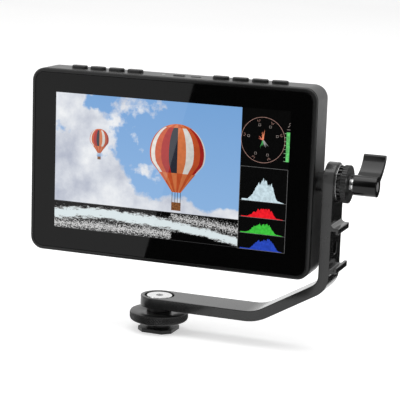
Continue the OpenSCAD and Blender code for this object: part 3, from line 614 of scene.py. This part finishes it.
def graph(rng, name, base, height, colour, peak):
    """A ragged hump, as one column per step; peak is where the hump lies, as a share of the width."""
    steps = 66
    outline = []
    drift = 0.0
    for i in range(steps + 1):
        t = i / steps
        drift = 0.72 * drift + 0.28 * rng.uniform(-1, 1)
        hump = math.exp(-((t - peak) / (0.24 if t < peak else 0.14)) ** 2)
        shoulder = 0.34 * math.exp(-((t - peak + 0.24) / 0.16) ** 2)
        shoulder += 0.30 * math.exp(-((t - peak - 0.12) / 0.09) ** 2)
        rough = 1 + 0.42 * drift + 0.10 * rng.uniform(-1, 1)
        tall = max(0.06, (0.72 * hump + shoulder) * rough)
        end_fade = min(1, 8 * (1 - t) + 0.02)
        outline.append((GRAPH_LEFT + GRAPH_WIDTH * t, base + 0.1 + height * min(1.0, tall) * end_fade))
    points, columns = [], []
    for (u0, v0), (u1, v1) in zip(outline, outline[1:]):
        k = len(points)
        points += [(u0, base), (u1, base), (u1, v1), (u0, v0)]
        columns.append((k, k + 1, k + 2, k + 3))
    material = lit("graph_" + name, speckled(colour))
    sheet_piece("screen_graph_" + name, points, DETAIL_LIFT, material, columns)


def graphs():
    rng = random.Random(7)
    graph(rng, "luma", -10.2, 12.2, srgb(196, 216, 224), 0.60)
    graph(rng, "red", -18.2, 5.2, srgb(232, 28, 40), 0.60)
    graph(rng, "green", -26.1, 6.6, srgb(62, 190, 62), 0.60)
    graph(rng, "blue", -34.0, 6.4, srgb(40, 70, 180), 0.66)


def display():
    screen_fields()
    screen_lines()
    graphs()
    scope()
    balloon("screen_balloon", 4.5, 9.0, 14.5)
    balloon("screen_balloon_far", -37.0, 12.5, 5.2)


def around(u, v, radius, angle):
    """The point at this radius and angle round (u, v)."""
    return (u + radius * math.cos(angle), v + radius * math.sin(angle))


def scope_ring(material):
    count = 96
    half_line = 0.1
    points = []
    for radius in (SCOPE_RADIUS - half_line, SCOPE_RADIUS + half_line):
        points += [around(SCOPE_U, SCOPE_V, radius, 2 * math.pi * i / count) for i in range(count)]
    faces = [(i, (i + 1) % count, count + (i + 1) % count, count + i) for i in range(count)]
    sheet_piece("screen_scope_ring", points, DETAIL_LIFT, material, faces)


def scope_marks(square_material, tick_material):
    """The outlines of six target squares, and three ticks beside each."""
    half = 0.5
    squares, ticks = [], []
    for angle in (18, 62, 105, 168, 242, 290):
        a = math.radians(angle)
        u, v = around(SCOPE_U, SCOPE_V, 7.4, a)
        corners = rect(u - half, u + half, v - half, v + half)
        squares += list(zip(corners, corners[1:] + corners[:1]))
        for start, turn in ((8.7, 0.0), (9.2, 0.06), (9.2, -0.06)):
            ends = [around(SCOPE_U, SCOPE_V, radius, a + turn) for radius in (start, start + 0.8)]
            ticks.append(ends)
    strips("screen_scope_squares", squares, 0.14, DETAIL_LIFT, square_material)
    strips("screen_scope_ticks", ticks, 0.16, DETAIL_LIFT, tick_material)


def scope_needles(rng, name, base_angle, length, colour):
    """A bundle of thin wedges from the scope's middle."""
    points, faces = [], []
    for _ in range(11):
        a = math.radians(base_angle + rng.uniform(-16, 16))
        reach = length * rng.uniform(0.45, 1.0)
        side = rng.uniform(0.12, 0.35)
        n = len(points)
        points += [(SCOPE_U + side * math.sin(a), SCOPE_V - side * math.cos(a)),
                   around(SCOPE_U, SCOPE_V, reach, a),
                   (SCOPE_U - side * math.sin(a), SCOPE_V + side * math.cos(a))]
        faces.append((n, n + 1, n + 2))
    needle = lit("scope_" + name, speckled(colour, 0.35, 3000.0))
    sheet_piece("screen_scope_" + name, points, NEEDLE_LIFT, needle, faces)


def level_bar(pale):
    """The upright level bar beside the scope, with its ticks and marks."""
    bar = rect(59.3, 61.0, 10.0, 24.2)
    ticks = [((58.3, 10.2 + 1.9 * i), (59.3, 10.2 + 1.9 * i)) for i in range(8)]
    marks = [((59.4, 25.4), (61.0, 25.4)), ((59.9, 26.5), (60.9, 27.6)), ((60.3, 28.0), (61.0, 28.6))]
    bar_green = lit("level_green", speckled(srgb(96, 190, 105), 0.3))
    sheet_piece("screen_level_bar", bar, DETAIL_LIFT, bar_green)
    tick_green = lit("level_pale", speckled(srgb(150, 190, 150)))
    strips("screen_level_ticks", ticks, 0.2, NEEDLE_LIFT, tick_green)
    strips("screen_level_marks", marks, 0.2, DETAIL_LIFT, pale)


def scope():
    """Round colour scope with six target squares, four bundles of needles and a level bar."""
    peach = lit("scope_peach", speckled(srgb(168, 132, 122)))
    pale = lit("scope_pale", speckled(srgb(150, 140, 135)))
    scope_ring(peach)
    scope_marks(pale, peach)
    rng = random.Random(11)
    scope_needles(rng, "warm", 96, 5.2, srgb(225, 130, 95))
    scope_needles(rng, "grey", 300, 4.2, srgb(150, 150, 150))
    scope_needles(rng, "green", 262, 5.0, srgb(70, 160, 85))
    scope_needles(rng, "warm_side", 150, 3.0, srgb(200, 110, 90))
    level_bar(pale)


def balloon(name, cu, cv, r):
    """A striped hot-air balloon with its basket, drawn flat; r is the envelope's half width."""
    screen_colours = [(196, 84, 44), (222, 220, 214), (168, 36, 34), (44, 46, 56), (214, 120, 72)]
    # Colour of each gore in the striped belt, and the two that take turns above and below it
    belt = (0, 1, 0, 2, 3, 4, 1, 0, 2, 1)
    plain = (4, 0)
    gores, rows = len(belt), 26
    belt_first, belt_end = 5, 21
    # The envelope is an arc for this share of its rows, and then narrows to its mouth
    arc_share = 0.72
    arc_turn = math.pi * 0.62

    def cloth(colour):
        def make(tree):
            u, v = display_uv(tree)
            from_left = add(tree, math_node(tree, "SUBTRACT", u, cu), r * 0.4)
            across = math_node(tree, "SUBTRACT", 1.0, math_node(tree, "DIVIDE", from_left, r * 2.4))
            shade = add(tree, times(tree, across, 0.55), mapped(tree, v, cv - 1.4 * r, cv + r, 0.15, 0.5))
            weave = [(0.35, tinted(colour, 0.92)), (0.65, tinted(colour, 1.08))]
            base = ramp(tree, noise(tree, 500.0, 3.0), weave)
            return mix_colour(tree, mapped(tree, shade, 0.25, 1.0, 0.62, 0.0), base, tinted(colour, 0.22))
        return make

    def profile(t):
        """Half width and height of the envelope, from the top at 0 to the mouth at 1."""
        a = arc_turn * min(t / arc_share, 1.0)
        if t <= arc_share:
            return r * math.sin(a), r * math.cos(a)
        s = (t - arc_share) / (1 - arc_share)
        top_w, top_h = r * math.sin(arc_turn), r * math.cos(arc_turn)
        return top_w + (0.16 * r - top_w) * s ** 0.9, top_h - 0.95 * r * s

    cloths = [lit("%s_cloth_%d" % (name, i), cloth(srgb(*c))) for i, c in enumerate(screen_colours)]
    points, faces, owners = [], [], []
    for g in range(gores):
        a0 = -math.pi / 2 + math.pi * g / gores
        a1 = -math.pi / 2 + math.pi * (g + 1) / gores
        for k in range(rows):
            (w0, h0), (w1, h1) = profile(k / rows), profile((k + 1) / rows)
            n = len(points)
            points += [(cu + w0 * math.sin(a0), cv + h0), (cu + w0 * math.sin(a1), cv + h0),
                       (cu + w1 * math.sin(a1), cv + h1), (cu + w1 * math.sin(a0), cv + h1)]
            faces.append((n + 3, n + 2, n + 1, n))
            owners.append(belt[g] if belt_first <= k < belt_end else plain[g % 2])
    obj = sheet_piece(name + "_envelope", points, TOP_LIFT, cloths, faces)
    for polygon, owner in zip(obj.data.polygons, owners):
        polygon.material_index = owner
    mouth = cv + profile(1.0)[1]
    basket = rect(cu - 0.17 * r, cu + 0.17 * r, mouth - 0.62 * r, mouth - 0.34 * r)
    wicker = lit(name + "_wicker", speckled(srgb(122, 78, 46), 0.5, 1600.0))
    sheet_piece(name + "_basket", basket, TOP_LIFT, wicker)
    ropes = []
    for share in (-1, -0.3, 0.3, 1):
        rope_u = cu + share * 0.15 * r
        ropes.append(((rope_u, mouth), (rope_u, mouth - 0.34 * r)))
    strips(name + "_ropes", ropes, 0.02 * r, TOP_LIFT, lit(name + "_rope", speckled(grey(0.05))))


display()


# Camera

def aim_camera():
    data = bpy.data.cameras.new("camera")
    camera = linked("camera", data)
    yaw, pitch, roll = (math.radians(a) for a in (CAMERA_YAW, CAMERA_PITCH, CAMERA_ROLL))
    ahead = Vector((-math.sin(yaw) * math.cos(pitch), math.cos(yaw) * math.cos(pitch), -math.sin(pitch)))
    right = Vector((math.cos(yaw), math.sin(yaw), 0.0))
    up = right.cross(ahead)
    x_axis = math.cos(roll) * right + math.sin(roll) * up
    y_axis = -math.sin(roll) * right + math.cos(roll) * up
    turn = Matrix((x_axis, y_axis, -ahead)).transposed().to_4x4()
    camera.matrix_world = Matrix.Translation(Vector(CAMERA_PLACE) * MM) @ turn
    data.sensor_width = 36.0
    data.lens = CAMERA_LENS
    data.clip_start, data.clip_end = 0.01, 50.0
    bpy.context.scene.camera = camera


# Stage and light

def bright_rays(tree):
    """1 for rays from the camera, from gloss and through glass, and 0 for the light on matt faces."""
    path = tree.nodes.new("ShaderNodeLightPath")
    seen = path.outputs["Is Camera Ray"]
    for kind in ("Glossy", "Transmission"):
        seen = math_node(tree, "MAXIMUM", seen, path.outputs["Is %s Ray" % kind])
    return seen


def stage_floor():
    """A pale floor, 12 metres wide."""
    half = 6
    mesh = bpy.data.meshes.new("floor")
    mesh.from_pydata([(x, y, 0) for x, y in rect(-half, half, -half, half)], [], [(0, 1, 2, 3)])
    floor = linked("floor", mesh)
    material, tree, shader = new_material("floor_white")
    pale = ramp(tree, noise(tree, 3.0), [(0.3, grey(0.80)), (0.7, grey(0.84))])
    tree.links.new(pale, shader.inputs["Base Color"])
    shader.inputs["Roughness"].default_value = 0.9
    shader.inputs["Specular IOR Level"].default_value = 0.1
    shader.inputs["Emission Color"].default_value = (1, 1, 1, 1)
    tree.links.new(times(tree, bright_rays(tree), 0.5), shader.inputs["Emission Strength"])
    mesh.materials.append(material)


def dark_card(name, corners):
    """A dark card round the stage that only gloss sees."""
    mesh = bpy.data.meshes.new(name)
    mesh.from_pydata([Vector(c) * MM for c in corners], [], [(0, 1, 2, 3)])
    card = linked(name, mesh)
    material, tree, shader = new_material(name + "_dark")
    dark = ramp(tree, noise(tree, 8.0), [(0.3, grey(0.008)), (0.7, grey(0.012))])
    tree.links.new(dark, shader.inputs["Base Color"])
    shader.inputs["Roughness"].default_value = 1.0
    shader.inputs["Specular IOR Level"].default_value = 0.0
    mesh.materials.append(material)
    for kind in ("camera", "diffuse", "transmission", "shadow", "volume_scatter"):
        setattr(card, "visible_" + kind, False)


def light_world():
    """White where it is seen or mirrored, and dimmer where it lights matt faces."""
    world = bpy.data.worlds.new("world")
    bpy.context.scene.world = world
    world.use_nodes = True
    tree = world.node_tree
    tree.nodes.clear()
    plain, seen = node(tree, "Background", Strength=0.45), node(tree, "Background", Strength=1.0)
    for background in (plain, seen):
        background.inputs["Color"].default_value = (1, 1, 1, 1)
    mix = tree.nodes.new("ShaderNodeMixShader")
    out = tree.nodes.new("ShaderNodeOutputWorld")
    tree.links.new(bright_rays(tree), mix.inputs["Fac"])
    tree.links.new(plain.outputs["Background"], mix.inputs[1])
    tree.links.new(seen.outputs["Background"], mix.inputs[2])
    tree.links.new(mix.outputs["Shader"], out.inputs["Surface"])


def lamp(name, place, target, size, power):
    """A square lamp; place, target and size are in metres, power in watts."""
    data = bpy.data.lights.new(name, "AREA")
    data.shape = "SQUARE"
    data.size = size
    data.energy = power
    obj = linked(name, data)
    obj.location = Vector(place)
    obj.rotation_euler = (Vector(target) - Vector(place)).to_track_quat("-Z", "Y").to_euler()


aim_camera()
stage_floor()
# The slanted left edge of this card gives the split in the glass
front_corners = [(-28.7, 15), (66.4, 15), (66.4, 140), (4.3, 140)]
dark_card("card_front", [(x, CARD_Y, z) for x, z in front_corners])
# Lies close over the floor beside the right side
dark_card("card_right", [(x, y, CARD_Z) for x, y in rect(95, 700, 20, 600)])
# Darkens the front of the knob
dark_card("card_knob", [(x, CARD_Y, z) for x, z in rect(80, 115, 82, 210)])
# Lies close over the floor and darkens the lock disc and the arm's end
dark_card("card_foot", [(x, y, CARD_Z) for x, y in rect(-60, 6, -90, -15)])
light_world()
lamp("lamp_top", (0.1, 0.0, 1.5), (0, 0, 0.05), 1.4, 14.0)
lamp("lamp_left", (-1.2, -1.0, 0.9), (0, 0, 0.08), 0.9, 7.0)
bpy.context.scene.view_settings.view_transform = "Standard"
